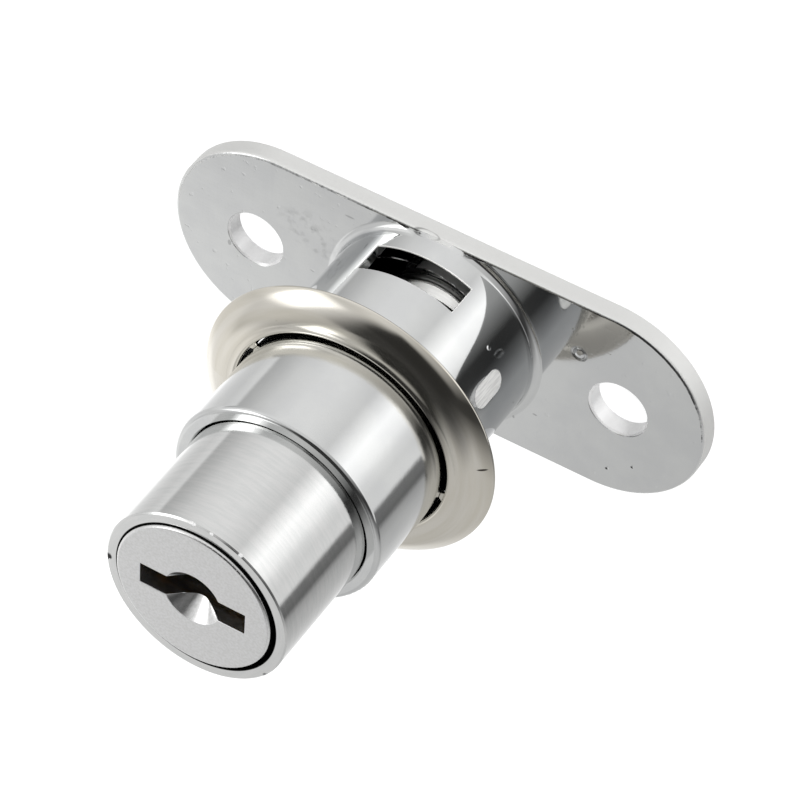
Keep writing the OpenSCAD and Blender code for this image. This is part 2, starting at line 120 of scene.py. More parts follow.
def trueNormals(mesh, rounds):
    # A corner that lies on one of the round surfaces, on a face that looks the same way as it,
    # takes that surface's exact direction. A surface runs round a line along X, half its length each side
    # of at, so a plain round one has half 0. A wall has a radius and points away from its axis, or towards
    # it with turn -1. An edge is a tube of radius tube whose centre runs at radius r and height z. A cone
    # opens upwards at 45 degrees from the height apex. Level faces keep their own direction.
    ends, sizes = np.empty(len(mesh.loops), np.int32), np.empty(len(mesh.polygons), np.int32)
    mesh.loops.foreach_get("vertex_index", ends)
    mesh.polygons.foreach_get("loop_total", sizes)
    spots, faces, found = (np.empty(3 * n) for n in (len(mesh.vertices), len(sizes), len(ends)))
    mesh.vertices.foreach_get("co", spots)
    mesh.polygons.foreach_get("normal", faces)
    mesh.corner_normals.foreach_get("vector", found)
    spots = spots.reshape(-1, 3)[ends] / mm
    faces = np.repeat(faces.reshape(-1, 3), sizes, axis=0)
    found = found.reshape(-1, 3)
    level = np.abs(faces[:, 2]) > fit["level"]
    found[level] = faces[level]
    for s in rounds:
        flat = spots[:, :2] - s.get("at", (0, 0))
        flat[:, 0] -= np.clip(flat[:, 0], -s.get("half", 0), s.get("half", 0))
        far = np.linalg.norm(flat, axis=1)
        out = flat / np.maximum(far, fit["least"])[:, None]
        if "apex" in s:
            off = (far - (spots[:, 2] - s["apex"])) / math.sqrt(2)
            true = np.column_stack([-out, np.ones(len(out))]) / math.sqrt(2)
        elif "tube" in s:
            across = np.column_stack([far - s["r"], spots[:, 2] - s["z"]])
            length = np.linalg.norm(across, axis=1)
            off = length - s["tube"]
            across /= np.maximum(length, fit["least"])[:, None]
            true = s.get("turn", 1) * np.column_stack([out * across[:, :1], across[:, 1]])
        else:
            off = far - s["r"]
            true = s.get("turn", 1) * np.column_stack([out, np.zeros(len(out))])
        sameWay = (true * faces).sum(1) > math.cos(math.radians(fit["angle"]))
        match = (np.abs(off) < fit["reach"]) & sameWay
        found[match] = true[match]
    mesh.normals_split_custom_set(found.tolist())


# distance that merges points, in millimetres, and in degrees what is flat, smooth and a corner to round
corners = {"merge": 0.015, "flat": 0.3, "smooth": 35, "rounded": 60, "segments": 2}


def finishedCopy(node, name, body, finish, edge, rounds):
    # The node's own shape, merged and with its flat faces made whole, its edges rounded by a bevel
    bm = bmesh.new()
    bm.from_mesh(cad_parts[node].data)
    bmesh.ops.remove_doubles(bm, verts=bm.verts, dist=corners["merge"] * mm)
    bmesh.ops.dissolve_limit(bm, angle_limit=math.radians(corners["flat"]), verts=bm.verts, edges=bm.edges)
    for line in bm.edges:
        line.smooth = line.calc_face_angle(0) < math.radians(corners["smooth"])
    mesh = bpy.data.meshes.new(name)
    bm.to_mesh(mesh)
    bm.free()
    piece = newPiece(name, mesh, body, (node,))
    bevel = piece.modifiers.new("brokenEdges", "BEVEL")
    bevel.width = edge * mm
    bevel.segments = corners["segments"]
    bevel.limit_method = "ANGLE"
    bevel.angle_limit = math.radians(corners["rounded"])
    bevel.use_clamp_overlap = False
    bevel.harden_normals = True
    bevel.miter_outer = "MITER_ARC"
    ready = bpy.data.meshes.new_from_object(piece.evaluated_get(bpy.context.evaluated_depsgraph_get()))
    piece.modifiers.clear()
    piece.data = ready
    trueNormals(ready, rounds)
    ready.materials.clear()
    ready.materials.append(finish)
    return piece


def bumpChain(tree, coords, layers):
    # Each layer is a noise with its feature size and its height in millimetres, or a ready relief.
    # stretch multiplies the coordinates, so a small number draws the pattern out along that axis.
    normal = None
    for layer in layers:
        height = layer.get("relief")
        if height is None:
            vector = addNode(tree, "VectorMath", {"operation": "MULTIPLY"},
                             {0: layer.get("coords", coords), 1: layer.get("stretch", (1, 1, 1))}).outputs[0]
            noise = addNode(tree, "TexNoise", {}, {"Vector": vector, "Scale": 1 / (layer["size"] * mm),
                                                   "Detail": layer.get("detail", 2.0), "Roughness": 0.55})
            height = noise.outputs["Fac"]
        if "floor" in layer:  # only the peaks above this level stand, as dings do
            slope = 0.12
            height = addNode(tree, "MapRange", {"interpolation_type": "SMOOTHSTEP"},
                             {0: height, 1: layer["floor"], 2: layer["floor"] + slope}).outputs[0]
        inputs = {"Height": height, "Distance": layer["height"] * mm, "Strength": layer.get("mask", 1.0)}
        if normal is not None:
            inputs["Normal"] = normal
        normal = addNode(tree, "Bump", {"invert": layer.get("invert", False)}, inputs).outputs[0]
    return normal


def newMetal(name):
    material = bpy.data.materials.new(name)
    material.use_nodes = True
    tree = material.node_tree
    shader = tree.nodes["Principled BSDF"]
    shader.inputs["Metallic"].default_value = 1.0
    coords = addNode(tree, "TexCoord").outputs["Object"]
    return material, tree, shader, coords


def toneMix(tree, coords, size, dark, light, low=0.35, high=0.65, stretch=(1, 1, 1)):
    # a noise of the given size in millimetres, turned into a mix of two colours
    vector = addNode(tree, "VectorMath", {"operation": "MULTIPLY"}, {0: coords, 1: stretch}).outputs[0]
    noise = addNode(tree, "TexNoise", {}, {"Vector": vector, "Scale": 1 / (size * mm), "Detail": 3.0})
    factor = addNode(tree, "MapRange", {"interpolation_type": "SMOOTHSTEP"},
                     {0: noise.outputs["Fac"], 1: low, 2: high}).outputs[0]
    mix = addNode(tree, "Mix", {"data_type": "RGBA"}, {0: factor, 6: linear(dark), 7: linear(light)})
    return mix.outputs[2], factor


def roundCoords(tree, coords, across):
    # Radius, length round the axis at the barrel's mean radius, and height. A pattern on these runs round
    # the lock's axis, and a small across draws it out that way. Height and radius also come by themselves.
    meanRadius = 10 * mm
    split = addNode(tree, "SeparateXYZ", {}, {0: coords})
    angle = addNode(tree, "Math", {"operation": "ARCTAN2"}, {0: split.outputs[1], 1: split.outputs[0]})
    flat = addNode(tree, "CombineXYZ", {}, {0: split.outputs[0], 1: split.outputs[1]})
    radius = addNode(tree, "VectorMath", {"operation": "LENGTH"}, {0: flat.outputs[0]}).outputs["Value"]
    arc = addNode(tree, "Math", {"operation": "MULTIPLY"}, {0: angle.outputs[0], 1: meanRadius * across})
    height = split.outputs[2]
    joined = addNode(tree, "CombineXYZ", {}, {0: radius, 1: arc.outputs[0], 2: height})
    return joined.outputs[0], height, radius


def fades(tree, measured):
    # Each name has a measure and two places in millimetres, and gives 0 at the first and 1 at the second
    found = {}
    for name, (measure, places) in measured.items():
        found[name] = addNode(tree, "MapRange", {"interpolation_type": "SMOOTHSTEP"},
                              {0: measure, 1: places[0] * mm, 2: places[1] * mm}).outputs[0]
    return found


def marks(tree, coords, places, soft=0.3):
    # 1 inside each mark and 0 outside. A mark is the middle and half the size of an ellipsoid, in
    # millimetres, and soft is the width of its border as a share of that size.
    found = 0.0
    for place, half in places:
        offset = addNode(tree, "VectorMath", {"operation": "SUBTRACT"},
                         {0: coords, 1: [v * mm for v in place]}).outputs[0]
        share = addNode(tree, "VectorMath", {"operation": "DIVIDE"},
                        {0: offset, 1: [v * mm for v in half]}).outputs[0]
        far = addNode(tree, "VectorMath", {"operation": "LENGTH"}, {0: share}).outputs["Value"]
        inside = addNode(tree, "MapRange", {"interpolation_type": "SMOOTHSTEP"},
                         {0: far, 1: 1 + soft, 2: 1 - soft}).outputs[0]
        found = addNode(tree, "Math", {"operation": "MAXIMUM"}, {0: inside, 1: found}).outputs[0]
    return found


def layered(tree, base, layers, kind="RGBA"):
    # Each layer covers what is below it by its mask, with a colour, or with kind FLOAT a plain value
    first, second, result = (6, 7, 2) if kind == "RGBA" else (2, 3, 0)
    for mask, value in layers:
        over = linear(value) if kind == "RGBA" else value
        base = addNode(tree, "Mix", {"data_type": kind}, {0: mask, first: base, second: over}).outputs[result]
    return base


def tumbledChrome():
    # Bright chrome on a zinc die casting. The tumbled flange keeps faint waves and scratches, its rim and
    # the walls of its holes plate dull, the barrel is polished behind the ring and brushed in front.
    look = {
        "dark": "#e0e1e1", "light": "#e6e7e6", "dullAndPaintedHighlight": "#eeeeec", "wall": "#ffffff", "dirtAndPaintedShade": "#3c3c3b",
        "paintedDimReflection": "#b4b6b8", "toneSize": 4.0, "toneRange": (0.3, 0.7), "brush": 0.14,
        "flangeRough": 0.06, "rearRough": 0.06, "frontRough": 0.10, "dullRough": 0.48, "wallRough": 0.3,
        "dullMetal": 0.45, "wallMetal": 0.3,
        "window": (5.05, 4.8, 8.35),        # half its width, and the heights of its lower and upper edge
        "endX": 18.1, "lineAt": 10.74,      # middle of the flange's round ends, and the line at its edge
        "onFlange": (2.6, 2.2), "atFront": (18.0, 19.0), "onRim": (10.86, 11.0), "torn": (10.6, 10.72),
        "farSide": (0.0, 2.0), "leftEnd": (-7.0, -11.0), "leftWall": (-5.3, -5.9), "line": (0.09, 0.03),
        "outline": (0.11, 0.06), "outside": (10.82, 10.9), "inside": (9.80, 9.72),
        "patches": {"size": 2.6, "detail": 5.0, "rough": 0.7, "range": (0.47, 0.56)},
        "grain": {"size": 0.9, "detail": 4.0, "rough": 0.5, "range": (0.45, 0.7)},
        "smudgeLevel": 0.22, "gateLevel": 0.6, "speckLevel": 0.3,
    }
    spots = {
        "holes": [((side * 20, 0, 1), (3.14, 3.14, 60)) for side in (-1, 1)],
        "smudge": [((-14.3, 4.6, 2), (2.6, 1.9, 2)), ((-12.6, 3.0, 2), (1.2, 1.4, 2))],
        "gate": [((-1.5, 10.85, 2), (1.45, 0.5, 0.5))], "gateInside": [((-1.35, 10.88, 2), (1.15, 0.3, 0.5))],
        "rightPaintedDim": [((10.6, 1.0, 7.0), (2.5, 6.5, 5.2))], "leftPaintedDim": [((-9.6, 5.8, 5.0), (7.0, 6.5, 6.5))],
        "pips": [((8.83, 6.56, 7.6), (0.2, 0.2, 0.2)), ((15.4, 4.8, 2), (0.5, 0.5, 0.5))],
        "specks": [((11.6, -5.7, 2), (0.25, 0.12, 0.3)), ((-22.9, -2.0, 2), (0.2, 0.35, 0.3)),
                   ((9.4, -7.3, 2), (0.12, 0.2, 0.3)), ((-9.8, 8.6, 2), (0.5, 0.12, 0.3))],
    }
    borders = {"holes": 0.02, "smudge": 0.6, "gate": 0.12, "gateInside": 0.15, "rightPaintedDim": 0.4,
               "leftPaintedDim": 0.5, "pips": 0.6, "specks": 0.3}
    material, tree, shader, coords = newMetal("chromeOnZincCasting")
    around, height, radius = roundCoords(tree, coords, look["brush"])
    x, y = addNode(tree, "SeparateXYZ", {}, {0: coords}).outputs[:2]
    spot = {name: marks(tree, coords, places, borders[name]) for name, places in spots.items()}

    # distance from the flange's middle line: its rim lies at a constant value all the way round
    side = x
    for step, value in (("ABSOLUTE", 0), ("SUBTRACT", look["endX"] * mm), ("MAXIMUM", 0)):
        side = addNode(tree, "Math", {"operation": step}, {0: side, 1: value}).outputs[0]
    flat = addNode(tree, "CombineXYZ", {}, {0: side, 1: y}).outputs[0]
    reach = addNode(tree, "VectorMath", {"operation": "LENGTH"}, {0: flat}).outputs["Value"]
    fromLine = reach
    for step, value in (("SUBTRACT", look["lineAt"] * mm), ("ABSOLUTE", 0)):
        fromLine = addNode(tree, "Math", {"operation": step}, {0: fromLine, 1: value}).outputs[0]

    # distance from the window's outline, across the barrel's side
    halfWidth, low, high = (v * mm for v in look["window"])
    across, upright = x, height
    for step, value in (("ABSOLUTE", 0), ("SUBTRACT", halfWidth)):
        across = addNode(tree, "Math", {"operation": step}, {0: across, 1: value}).outputs[0]
    for step, value in (("SUBTRACT", (low + high) / 2), ("ABSOLUTE", 0), ("SUBTRACT", (high - low) / 2)):
        upright = addNode(tree, "Math", {"operation": step}, {0: upright, 1: value}).outputs[0]
    fromWindow = across
    for step, value in (("MAXIMUM", upright), ("ABSOLUTE", 0)):
        fromWindow = addNode(tree, "Math", {"operation": step}, {0: fromWindow, 1: value}).outputs[0]

    measures = {"onFlange": height, "atFront": height, "onRim": reach, "torn": reach, "farSide": y,
                "leftEnd": x, "leftWall": x, "line": fromLine, "outline": fromWindow, "outside": radius,
                "inside": radius}
    mask = fades(tree, {name: (measure, look[name]) for name, measure in measures.items()})
    for name in ("patches", "grain"):
        s = look[name]
        noise = addNode(tree, "TexNoise", {}, {"Vector": coords, "Scale": 1 / (s["size"] * mm),
                                               "Detail": s["detail"], "Roughness": s["rough"]})
        mask[name] = addNode(tree, "MapRange", {"interpolation_type": "SMOOTHSTEP"},
                             {0: noise.outputs["Fac"], 1: s["range"][0], 2: s["range"][1]}).outputs[0]

    # What holds only where several masks meet. On the +Y side the line where the flange's flat face meets its
    # rounded edge is painted shade in patches, with a painted highlight at its left end. The window's edges
    # carry a painted highlight, the inner ones in patches.
    meetings = {"line": ("patches", "onFlange", "farSide"), "paintedHighlightLine": ("line", "leftEnd"),
                "onRim": ("onFlange",), "inside": ("patches",), "torn": ("farSide", "onFlange")}
    for name, factors in meetings.items():
        for factor in factors:
            before = mask.get(name, 1.0)
            mask[name] = addNode(tree, "Math", {"operation": "MULTIPLY"},
                                 {0: before, 1: mask[factor]}).outputs[0]
    # The window's outline on the +Y side, outside and at the bore's edge, is painted white as a highlight
    paintedWindowHighlight = mask["outside"]
    for step, value in (("MAXIMUM", mask["inside"]), ("MULTIPLY", mask["outline"]),
                        ("MULTIPLY", mask["farSide"])):
        paintedWindowHighlight = addNode(tree, "Math", {"operation": step}, {0: paintedWindowHighlight, 1: value}).outputs[0]
    # Dull white: real where the flange's rim and its hole walls plate dull, painted highlight on the line's
    # left end and the window's outline
    dullAndPaintedHighlight = mask["onRim"]
    for other in (spot["holes"], mask["paintedHighlightLine"], paintedWindowHighlight):
        dullAndPaintedHighlight = addNode(tree, "Math", {"operation": "MAXIMUM"}, {0: dullAndPaintedHighlight, 1: other}).outputs[0]

    # Painted shade on the dark part of the line, and dirt: a grainy smudge, the outline of the gate mark and
    # specks
    dirtAndPaintedShade = addNode(tree, "Math", {"operation": "SUBTRACT"}, {0: mask["line"], 1: mask["paintedHighlightLine"]}).outputs[0]
    smudge = addNode(tree, "Math", {"operation": "MULTIPLY"},
                     {0: spot["smudge"], 1: mask["grain"]}).outputs[0]
    gate = addNode(tree, "Math", {"operation": "SUBTRACT", "use_clamp": True},
                   {0: spot["gate"], 1: spot["gateInside"]}).outputs[0]
    faint = ((smudge, "smudgeLevel"), (gate, "gateLevel"), (spot["specks"], "speckLevel"))
    for stain, level in faint:
        stain = addNode(tree, "Math", {"operation": "MULTIPLY"}, {0: stain, 1: look[level]}).outputs[0]
        dirtAndPaintedShade = addNode(tree, "Math", {"operation": "MAXIMUM"}, {0: dirtAndPaintedShade, 1: stain}).outputs[0]

    # Painted shade on the barrel's wall, behind the ring, to the right and from the window to the left: a
    # grey tint that dims what the wall reflects
    paintedDimReflection = mask["leftWall"]
    for step, value in (("MULTIPLY", spot["leftPaintedDim"]), ("MAXIMUM", spot["rightPaintedDim"]),
                        ("SUBTRACT", mask["onFlange"])):
        paintedDimReflection = addNode(tree, "Math", {"operation": step, "use_clamp": True}, {0: paintedDimReflection, 1: value}).outputs[0]

    colour = toneMix(tree, coords, look["toneSize"], look["dark"], look["light"], *look["toneRange"])[0]
    colour = layered(tree, colour, [(dullAndPaintedHighlight, look["dullAndPaintedHighlight"]), (spot["holes"], look["wall"]),
                                    (dirtAndPaintedShade, look["dirtAndPaintedShade"]), (paintedDimReflection, look["paintedDimReflection"])])
    tree.links.new(colour, shader.inputs["Base Color"])
    metal = layered(tree, 1.0, [(dullAndPaintedHighlight, look["dullMetal"]), (spot["holes"], look["wallMetal"])], "FLOAT")
    tree.links.new(metal, shader.inputs["Metallic"])
    rough = layered(tree, look["rearRough"],
                    [(mask["atFront"], look["frontRough"]), (mask["onFlange"], look["flangeRough"]),
                     (dullAndPaintedHighlight, look["dullRough"]), (spot["holes"], look["wallRough"])], "FLOAT")
    tree.links.new(rough, shader.inputs["Roughness"])
    normal = bumpChain(tree, coords, [
        {"size": 5.0, "height": 0.008, "mask": mask["onFlange"], "detail": 1.0},
        {"size": 0.9, "height": 0.004, "mask": mask["onFlange"], "floor": 0.66, "invert": True},
        {"size": 0.3, "height": 0.0006, "mask": mask["onFlange"], "stretch": (0.06, 1, 1)},
        {"size": 0.3, "height": 0.0006, "mask": mask["onFlange"], "stretch": (1, 0.06, 1)},
        {"size": 0.5, "height": 0.02, "mask": mask["torn"], "detail": 3.0},
        {"size": 0.7, "height": 0.004, "mask": mask["atFront"], "detail": 3.0},
        {"size": 0.16, "height": 0.0008, "mask": mask["atFront"], "coords": around, "detail": 2.0},
        {"size": 0.4, "height": 0.0004, "detail": 3.0},
        {"relief": spot["pips"], "height": 0.05},
    ])
    tree.links.new(normal, shader.inputs["Normal"])
    return material


def satinChrome():
    # Chrome over a turned and brushed barrel: hair lines run round it, so reflections spread along it.
    # Its rim has small knocks, a white outer edge of wear and painted highlight, and painted glints; its bore
    # is painted shade.
    look = {"dark": "#e1e2e1", "light": "#e7e7e6", "knock": "#2e2e2e", "paintedTone": "#ffffff", "bore": "#0b0b0a",
            "toneSize": 0.35, "brush": 0.12, "rough": (0.105, 0.12), "boreRough": 0.6, "paintedToneRough": 0.6,
            "paintedToneMetal": 0.3, "wornAndPaintedLevel": 0.75,
            "wornAndPaintedEdge": (9.40, 9.46), "atRim": (43.03, 43.09), "inShadedBore": (8.50, 8.44),
            "knocks": [((-9.2, -0.3, 43.1), (0.3, 0.35, 0.25)), ((7.6, -5.75, 43.05), (0.3, 0.3, 0.2))],
            "paintedGlints": [((-0.6, 9.4, 43.1), (0.35, 0.2, 0.2)), ((4.45, 8.4, 43.1), (0.25, 0.2, 0.2)),
                       ((1.4, 9.3, 43.1), (0.2, 0.15, 0.12))]}
    material, tree, shader, coords = newMetal("satinBrushedChrome")
    around, height, radius = roundCoords(tree, coords, look["brush"])
    colour, factor = toneMix(tree, around, look["toneSize"], look["dark"], look["light"])
    knocks, paintedGlints = marks(tree, coords, look["knocks"]), marks(tree, coords, look["paintedGlints"])
    mask = fades(tree, {"wornAndPaintedEdge": (radius, look["wornAndPaintedEdge"]), "atRim": (height, look["atRim"]),
                        "inShadedBore": (radius, look["inShadedBore"])})
    # The rim's outer edge is painted white, partly as wear and partly as painted highlight, and the glints
    # are painted highlights
    paintedTone = mask["wornAndPaintedEdge"]
    for step, value in (("MULTIPLY", mask["atRim"]), ("MULTIPLY", look["wornAndPaintedLevel"]), ("MAXIMUM", paintedGlints)):
        paintedTone = addNode(tree, "Math", {"operation": step}, {0: paintedTone, 1: value}).outputs[0]
    # The bore is painted near black as shade
    colour = layered(tree, colour, [(knocks, look["knock"]), (paintedTone, look["paintedTone"]),
                                    (mask["inShadedBore"], look["bore"])])
    tree.links.new(colour, shader.inputs["Base Color"])
    rough = addNode(tree, "MapRange", {}, {0: factor, 3: look["rough"][0], 4: look["rough"][1]}).outputs[0]
    rough = layered(tree, rough, [(mask["inShadedBore"], look["boreRough"]), (paintedTone, look["paintedToneRough"])], "FLOAT")
    tree.links.new(rough, shader.inputs["Roughness"])
    metal = layered(tree, 1.0, [(paintedTone, look["paintedToneMetal"])], "FLOAT")
    tree.links.new(metal, shader.inputs["Metallic"])
    normal = bumpChain(tree, coords, [
        {"size": 0.16, "height": 0.00008, "coords": around, "detail": 2.0},
        {"size": 0.7, "height": 0.003, "detail": 3.0},
        {"relief": knocks, "height": 0.12, "invert": True},
    ])
    tree.links.new(normal, shader.inputs["Normal"])
    return material


def warmNickel():
    # Bright nickel on pressed sheet: warmer than chrome, mirror-like, with faint drawing marks round it.
    # The narrow gap behind the lip is painted black as shade, and faces that look downwards are darker.
    look = {"dark": "#e2ddd1", "light": "#ebe7de", "paintedTone": "#0b0b0a", "stain": "#4a4640", "back": "#a8a59f",
            "toneSize": 1.2, "drawn": 0.1, "rough": (0.09, 0.14), "paintedToneRough": 0.6,
            "shadedGap": (18.46, 18.40), "narrow": (11.42, 11.38), "facingBack": (-0.1, -0.3),
            "stains": [((14.4, 2.6, 17.75), (0.5, 0.12, 0.5)), ((-7.2, 10.6, 18.9), (0.1, 0.1, 0.2))]}
    material, tree, shader, coords = newMetal("brightNickelOnSteel")
    around, height, radius = roundCoords(tree, coords, look["drawn"])
    colour, factor = toneMix(tree, around, look["toneSize"], look["dark"], look["light"])
    mask = fades(tree, {"shadedGap": (height, look["shadedGap"]), "narrow": (radius, look["narrow"])})
    # The narrow gap behind the lip is painted near black as shade
    shadedGap = addNode(tree, "Math", {"operation": "MULTIPLY"}, {0: mask["shadedGap"], 1: mask["narrow"]}).outputs[0]
    facing = addNode(tree, "SeparateXYZ", {}, {0: addNode(tree, "TexCoord").outputs["Normal"]}).outputs[2]
    low, high = look["facingBack"]
    atBack = addNode(tree, "MapRange", {"interpolation_type": "SMOOTHSTEP"},
                     {0: facing, 1: low, 2: high}).outputs[0]
    colour = layered(tree, colour, [(marks(tree, coords, look["stains"]), look["stain"]),
                                    (shadedGap, look["paintedTone"]), (atBack, look["back"])])
    tree.links.new(colour, shader.inputs["Base Color"])
    rough = addNode(tree, "MapRange", {}, {0: factor, 3: look["rough"][0], 4: look["rough"][1]}).outputs[0]
    rough = layered(tree, rough, [(shadedGap, look["paintedToneRough"])], "FLOAT")
    tree.links.new(rough, shader.inputs["Roughness"])
    normal = bumpChain(tree, around, [{"size": 0.5, "height": 0.0008, "detail": 2.0}])
    tree.links.new(normal, shader.inputs["Normal"])
    return material


def blastedFace():
    # Plug face blasted with fine grit before plating, its cone and slot left polished
    look = {"dark": "#eeeeed", "light": "#fafafa", "toneSize": 0.25, "toneRange": (0.3, 0.7),
            "faceRough": 0.3, "innerRough": 0.2, "onFace": (43.46, 43.54)}
    material, tree, shader, coords = newMetal("gritBlastedChrome")
    colour = toneMix(tree, coords, look["toneSize"], look["dark"], look["light"], *look["toneRange"])[0]
    tree.links.new(colour, shader.inputs["Base Color"])
    height = addNode(tree, "SeparateXYZ", {}, {0: coords}).outputs[2]
    onFace = fades(tree, {"onFace": (height, look["onFace"])})["onFace"]
    rough = layered(tree, look["innerRough"], [(onFace, look["faceRough"])], "FLOAT")
    tree.links.new(rough, shader.inputs["Roughness"])
    normal = bumpChain(tree, coords, [
        {"size": 0.16, "height": 0.006, "mask": onFace, "detail": 3.0},
        {"size": 0.6, "height": 0.002, "detail": 2.0},
    ])
    tree.links.new(normal, shader.inputs["Normal"])
    return material


def plainMetal(name, look):
    # Plain metal as it leaves the tool. With turned, the fine rings of the lathe run round the axis;
    # otherwise the lines run along the direction that stretch draws out, as from rolling or filing.
    material, tree, shader, coords = newMetal(name)
    shader.inputs["Metallic"].default_value = look.get("metallic", 1.0)
    if "turned" in look:
        coords = roundCoords(tree, coords, look["turned"])[0]
    colour, factor = toneMix(tree, coords, look["toneSize"], look["dark"], look["light"],
                             *look["toneRange"], look.get("toneStretch", (1, 1, 1)))
    tree.links.new(colour, shader.inputs["Base Color"])
    amount = addNode(tree, "MapRange", {}, {0: factor, 3: look["rough"][0], 4: look["rough"][1]})
    tree.links.new(amount.outputs[0], shader.inputs["Roughness"])
    line = {"size": look["lineSize"], "height": look["lineHeight"], "stretch": look.get("stretch", (1, 1, 1))}
    normal = bumpChain(tree, coords, [line])
    tree.links.new(normal, shader.inputs["Normal"])
    return material


# The guide key and the stop pin are filed flush with the barrel: bright, with strokes along the key.
# The bolt is zinc gone dull. Turned steel is grey with the lathe's fine rings, and wire and stamped
# strip have faint rolling lines, the wire darker from its oil.
lathe = {"turned": 0.08, "toneSize": 0.4, "toneRange": (0.35, 0.65), "lineSize": 0.18, "lineHeight": 0.003}
press = {"toneSize": 0.8, "toneRange": (0.3, 0.7), "toneStretch": (0.15, 1, 1),
         "lineSize": 0.15, "lineHeight": 0.002, "stretch": (0.1, 1, 1)}
plainLooks = {
    "filedGuideKeySteel": {"dark": "#e4e4e2", "light": "#fbfbf9", "rough": (0.42, 0.6), "metallic": 0.1,
                           "toneSize": 0.18, "toneRange": (0.4, 0.6), "toneStretch": (1, 1, 0.08),
                           "lineSize": 0.14, "lineHeight": 0.006, "stretch": (1, 1, 0.06)},
    "dullZincBolt": {"dark": "#ececea", "light": "#f8f8f6", "rough": (0.336, 0.525), "metallic": 0.0,
                     **lathe},
    "turnedSteel": {"dark": "#b4b4b3", "light": "#cdcdcb", "rough": (0.224, 0.35), **lathe},
    "drawnSpringWire": {"dark": "#8e8e8d", "light": "#a8a8a6", "rough": (0.24, 0.375), **press},
    "stampedLatchSteel": {"dark": "#b2b2b1", "light": "#cccccb", "rough": (0.24, 0.375), **press},
    "stampedBrass": {"dark": "#b98f45", "light": "#d0a85a", "rough": (0.224, 0.35), **press},
}

print("materials")
chrome, satin, nickel, blasted = tumbledChrome(), satinChrome(), warmNickel(), blastedFace()
filed, castBolt, turned, wire, stamped, brass = (plainMetal(name, look) for name, look in plainLooks.items())

print("pieces from the packed model")
flangeRound = {"half": 18.1}
finishedCopy("housing", "housingCasting", "housing", chrome, 0.09, [
    {"r": 11.0}, {"r": 9.6, "turn": -1}, {"r": 10.5, "z": 29.5, "tube": 0.5},
    {"r": 11.9, "z": 2.9, "tube": 0.9, "turn": -1}, {"r": 11.05, **flangeRound},
    {"r": 10.7, "z": 1.65, "tube": 0.35, **flangeRound}, {"r": 4.85, "turn": -1},
    {"r": 3.0, "at": (-20, 0), "turn": -1}, {"r": 3.0, "at": (20, 0), "turn": -1}])
finishedCopy("guide_key", "guideKeyEnd", "housing", filed, 0.04, [{"r": 11.0}])
finishedCopy("stop_pin", "stopPinEnd", "housing", filed, 0.04, [{"r": 11.0}])
finishedCopy("plunger", "plungerSleeve", "plunger", satin, 0.05,
             [{"r": 9.5}, {"r": 8.4, "turn": -1}, {"r": 5.85, "turn": -1}])
plugAt = {"at": (-0.12, 0.16)}
finishedCopy("plug", "keyPlug", "plug", blasted, 0.05, [
    {"r": 8.1, **plugAt}, {"r": 7.85, "z": 43.3, "tube": 0.25, **plugAt}, {"apex": 40.55, **plugAt}])
finishedCopy("bolt", "slidingBolt", "plunger", castBolt, 0.06, [{"r": 4.75}, {"r": 5.6}])
finishedCopy("latch", "latchFork", "latch", stamped, 0.06, [])

finishes = {"drive_pin": turned, "plug_clip": wire}
finishes.update({f"wafer_{i}": brass for i in range(1, 6)})
finishes.update({f"wafer_spring_{i}": wire for i in range(1, 6)})
for name, material in finishes.items():
    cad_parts[name].material_slots[0].material = material

# The latch springs: copies of their nodes that ride with the plunger, in spring wire
for side in ("left", "right"):
    node = "latch_spring_" + side
    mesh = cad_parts[node].data.copy()
    coil = newPiece(side + "LatchSpring", mesh, "plunger", (node,))
    coil.data.materials.clear()
    coil.data.materials.append(wire)
    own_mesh(coil)

ringShape = {
    "domeAt": 11.9, "domeZ": 14.423, "domeR": 4.577,  # the dome's arc: its top's radius, its centre's height
    "domeFrom": 3.2, "domeTo": 50.0, "underTo": 5.0,  # its slope in degrees at the lip, the edge and below
    "sheet": 0.45,                                    # thickness
    "beadR": 11.675, "beadZ": 18.775, "bead": 0.315,  # the rolled inner lip
    "beadTurn": (-180, -292), "meet": (0.02, -0.05),  # its arc in degrees, and where the collar joins it
    "tipR": 11.04, "tipZ": 17.25, "crowd": 0.7,       # the collar's lower end; its points crowd upwards
    "neck": 18.5, "shoulder": 0.32,                   # where the collar's outside meets the dome
    "groove": 0.06, "grooveAt": 12.02, "grooveWidth": 0.12,
    "nibs": (-12, 148, 248), "nibReach": 11.02, "nibWidth": 1.0, "nibHeight": (18.5, 18.95),
    "nibSide": 0.2, "nibEnd": 0.08,                   # how gently a nib rises at its sides and ends
    "tilt": (0.0075, 0.0173),                         # radians about X and Y
    "points": {"around": 576, "collar": 14, "bead": 22, "dome": 34, "edge": 14, "under": 20, "neck": 8},
}


